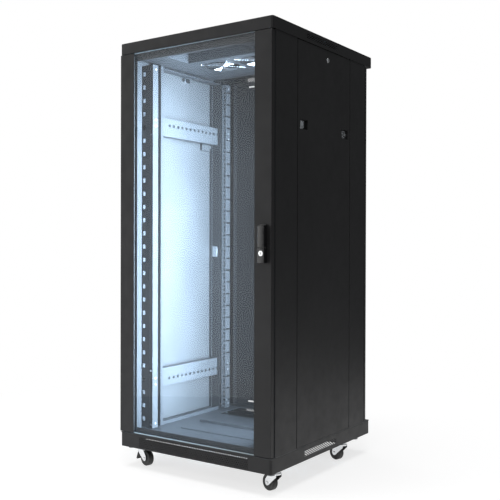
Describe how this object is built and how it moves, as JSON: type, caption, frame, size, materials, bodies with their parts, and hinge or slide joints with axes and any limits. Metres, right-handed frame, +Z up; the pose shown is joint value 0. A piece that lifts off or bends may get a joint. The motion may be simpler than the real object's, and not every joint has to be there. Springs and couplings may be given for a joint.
{
  "type": "network server rack cabinet",
  "caption": "Free-standing 19-inch equipment cabinet with a glass front door, rear door, lift-off side panels, four mounting rails, roof fans, casters and levelling feet.",
  "frame": {"origin": "on the floor under the centre of the cabinet's bounding box", "axes": "+Z up, the glass front door faces -Y, and +X is to the right seen from the front"},
  "size_m": [0.6, 0.654, 1.392],
  "materials": {
    "powder_coat": "black powder coat with a fine orange-peel grain",
    "rail_coat": "smooth black-grey paint, worn bright at the hole edges",
    "gloss_black": "moulded gloss black",
    "black_plastic": "moulded matte black",
    "chrome": "bright nickel-chrome plate",
    "zinc_plate": "zinc-plated pressed steel",
    "foot_zinc": "dark zinc-plated steel stud with a black pad",
    "wheel_rubber": "satin black tread",
    "door_glass": "tinted toughened glass"
  },
  "bodies": {
    "cabinet": {"top_cap": "powder_coat", "base_plinth": "powder_coat", "floor_plate": "powder_coat", "front_frame": "powder_coat", "rear_frame": "powder_coat", "left_top_beam": "powder_coat", "right_top_beam": "powder_coat", "left_upper_brace": "powder_coat", "right_upper_brace": "powder_coat", "left_lower_brace": "powder_coat", "right_lower_brace": "powder_coat", "front_left_rail": "rail_coat", "front_right_rail": "rail_coat", "rear_left_rail": "rail_coat", "rear_right_rail": "rail_coat", "roof_panel": "powder_coat", "left_fan_housing": "black_plastic", "right_fan_housing": "black_plastic", "left_fan_guard": "chrome", "right_fan_guard": "chrome", "front_left_caster_plate": "zinc_plate", "front_right_caster_plate": "zinc_plate", "rear_left_caster_plate": "zinc_plate", "rear_right_caster_plate": "zinc_plate"},
    "front_door": {"door_left_stile": "powder_coat", "door_right_stile": "powder_coat", "door_glass": "door_glass", "door_pin_top": "zinc_plate", "door_pin_bottom": "zinc_plate", "handle_base": "gloss_black"},
    "latch_cam": {"latch_cam": "zinc_plate"},
    "handle_lever": {"handle_lever": "gloss_black"},
    "lock_cylinder": {"lock_cylinder": "chrome"},
    "rear_door": {"rear_door": "powder_coat"},
    "rear_lock": {"rear_lock": "chrome"},
    "left_side_panel": {"left_side_panel": "powder_coat"},
    "right_side_panel": {"right_side_panel": "powder_coat"},
    "left_panel_lock": {"left_panel_lock": "chrome"},
    "right_panel_lock": {"right_panel_lock": "chrome"},
    "left_front_latch": {"left_front_latch": "zinc_plate"},
    "left_rear_latch": {"left_rear_latch": "zinc_plate"},
    "right_front_latch": {"right_front_latch": "zinc_plate"},
    "right_rear_latch": {"right_rear_latch": "zinc_plate"},
    "left_fan_rotor": {"left_fan_rotor": "black_plastic"},
    "right_fan_rotor": {"right_fan_rotor": "black_plastic"},
    "cable_cover": {"cable_cover": "powder_coat"},
    "front_left_fork": {"front_left_caster_fork": "chrome"},
    "front_right_fork": {"front_right_caster_fork": "chrome"},
    "rear_left_fork": {"rear_left_caster_fork": "chrome"},
    "rear_right_fork": {"rear_right_caster_fork": "chrome"},
    "front_left_wheel": {"front_left_wheel": "wheel_rubber"},
    "front_right_wheel": {"front_right_wheel": "wheel_rubber"},
    "rear_left_wheel": {"rear_left_wheel": "wheel_rubber"},
    "rear_right_wheel": {"rear_right_wheel": "wheel_rubber"},
    "brake_pedal": {"brake_pedal": "black_plastic"},
    "front_left_foot": {"front_left_foot": "foot_zinc"},
    "front_right_foot": {"front_right_foot": "foot_zinc"},
    "rear_left_foot": {"rear_left_foot": "foot_zinc"},
    "rear_right_foot": {"rear_right_foot": "foot_zinc"}
  },
  "joints": [
    {"name": "front_door_hinge", "type": "hinge", "parent": "cabinet", "child": "front_door", "pos_m": [-0.291, -0.303, 0.7], "axis": [0, 0, -1], "range_deg": [0, 180]},
    {"name": "door_latch_turn", "type": "hinge", "parent": "front_door", "child": "latch_cam", "pos_m": [0.2696, -0.311, 0.777], "axis": [0, 1, 0], "range_deg": [0, 90]},
    {"name": "handle_tip_out", "type": "hinge", "parent": "latch_cam", "child": "handle_lever", "pos_m": [0.2696, -0.32175, 0.782], "axis": [-1, 0, 0], "range_deg": [0, 35]},
    {"name": "front_key_turn", "type": "hinge", "parent": "front_door", "child": "lock_cylinder", "pos_m": [0.2696, -0.32, 0.707], "axis": [0, 1, 0], "range_deg": [0, 90]},
    {"name": "rear_door_hinge", "type": "hinge", "parent": "cabinet", "child": "rear_door", "pos_m": [-0.291, 0.2845, 0.7], "axis": [0, 0, 1], "range_deg": [0, 120]},
    {"name": "rear_key_turn", "type": "hinge", "parent": "rear_door", "child": "rear_lock", "pos_m": [0.27, 0.2915, 0.735], "axis": [0, 1, 0], "range_deg": [0, 90]},
    {"name": "left_panel_lift_off", "type": "slide", "parent": "cabinet", "child": "left_side_panel", "axis": [-1, 0, 0], "range_m": [0, 0.25]},
    {"name": "right_panel_lift_off", "type": "slide", "parent": "cabinet", "child": "right_side_panel", "axis": [1, 0, 0], "range_m": [0, 0.25]},
    {"name": "left_panel_key_turn", "type": "hinge", "parent": "left_side_panel", "child": "left_panel_lock", "pos_m": [-0.298, 0.014, 1.323], "axis": [-1, 0, 0], "range_deg": [0, 90]},
    {"name": "right_panel_key_turn", "type": "hinge", "parent": "right_side_panel", "child": "right_panel_lock", "pos_m": [0.298, 0.014, 1.323], "axis": [1, 0, 0], "range_deg": [0, 90]},
    {"name": "left_front_latch_slide", "type": "slide", "parent": "left_side_panel", "child": "left_front_latch", "axis": [0, 1, 0], "range_m": [0, 0.01], "stiffness_N_per_m": 300},
    {"name": "left_rear_latch_slide", "type": "slide", "parent": "left_side_panel", "child": "left_rear_latch", "axis": [0, -1, 0], "range_m": [0, 0.01], "stiffness_N_per_m": 300},
    {"name": "right_front_latch_slide", "type": "slide", "parent": "right_side_panel", "child": "right_front_latch", "axis": [0, 1, 0], "range_m": [0, 0.01], "stiffness_N_per_m": 300},
    {"name": "right_rear_latch_slide", "type": "slide", "parent": "right_side_panel", "child": "right_rear_latch", "axis": [0, -1, 0], "range_m": [0, 0.01], "stiffness_N_per_m": 300},
    {"name": "left_fan_spin", "type": "hinge", "parent": "cabinet", "child": "left_fan_rotor", "pos_m": [-0.07, -0.055, 1.355], "axis": [0, 0, 1], "continuous": true},
    {"name": "right_fan_spin", "type": "hinge", "parent": "cabinet", "child": "right_fan_rotor", "pos_m": [0.07, -0.055, 1.355], "axis": [0, 0, 1], "continuous": true},
    {"name": "cable_cover_slide", "type": "slide", "parent": "cabinet", "child": "cable_cover", "axis": [0, -1, 0], "range_m": [-0.04, 0.08]},
    {"name": "front_left_swivel", "type": "hinge", "parent": "cabinet", "child": "front_left_fork", "pos_m": [-0.252, -0.253, 0.055], "axis": [0, 0, 1], "continuous": true},
    {"name": "front_right_swivel", "type": "hinge", "parent": "cabinet", "child": "front_right_fork", "pos_m": [0.274, -0.249, 0.055], "axis": [0, 0, 1], "continuous": true},
    {"name": "rear_left_swivel", "type": "hinge", "parent": "cabinet", "child": "rear_left_fork", "pos_m": [-0.252, 0.164, 0.055], "axis": [0, 0, 1], "continuous": true},
    {"name": "rear_right_swivel", "type": "hinge", "parent": "cabinet", "child": "rear_right_fork", "pos_m": [0.274, 0.164, 0.055], "axis": [0, 0, 1], "continuous": true},
    {"name": "front_left_wheel_roll", "type": "hinge", "parent": "front_left_fork", "child": "front_left_wheel", "pos_m": [-0.22755, -0.2582, 0.025], "axis": [0.2079, 0.9781, 0], "continuous": true},
    {"name": "front_right_wheel_roll", "type": "hinge", "parent": "front_right_fork", "child": "front_right_wheel", "pos_m": [0.24985, -0.24253, 0.025], "axis": [-0.2588, -0.9659, 0], "continuous": true},
    {"name": "rear_left_wheel_roll", "type": "hinge", "parent": "rear_left_fork", "child": "rear_left_wheel", "pos_m": [-0.22755, 0.1588, 0.025], "axis": [0.2079, 0.9781, 0], "continuous": true},
    {"name": "rear_right_wheel_roll", "type": "hinge", "parent": "rear_right_fork", "child": "rear_right_wheel", "pos_m": [0.24985, 0.17047, 0.025], "axis": [-0.2588, -0.9659, 0], "continuous": true},
    {"name": "brake_pedal_press", "type": "hinge", "parent": "front_left_fork", "child": "brake_pedal", "pos_m": [-0.26374, -0.25051, 0.044], "axis": [-0.2079, -0.9781, 0], "range_deg": [0, 12]},
    {"name": "front_left_foot_screw", "type": "slide", "parent": "cabinet", "child": "front_left_foot", "axis": [0, 0, -1], "range_m": [0, 0.0575]},
    {"name": "front_right_foot_screw", "type": "slide", "parent": "cabinet", "child": "front_right_foot", "axis": [0, 0, -1], "range_m": [0, 0.0575]},
    {"name": "rear_left_foot_screw", "type": "slide", "parent": "cabinet", "child": "rear_left_foot", "axis": [0, 0, -1], "range_m": [0, 0.0575]},
    {"name": "rear_right_foot_screw", "type": "slide", "parent": "cabinet", "child": "rear_right_foot", "axis": [0, 0, -1], "range_m": [0, 0.0575]}
  ]
}
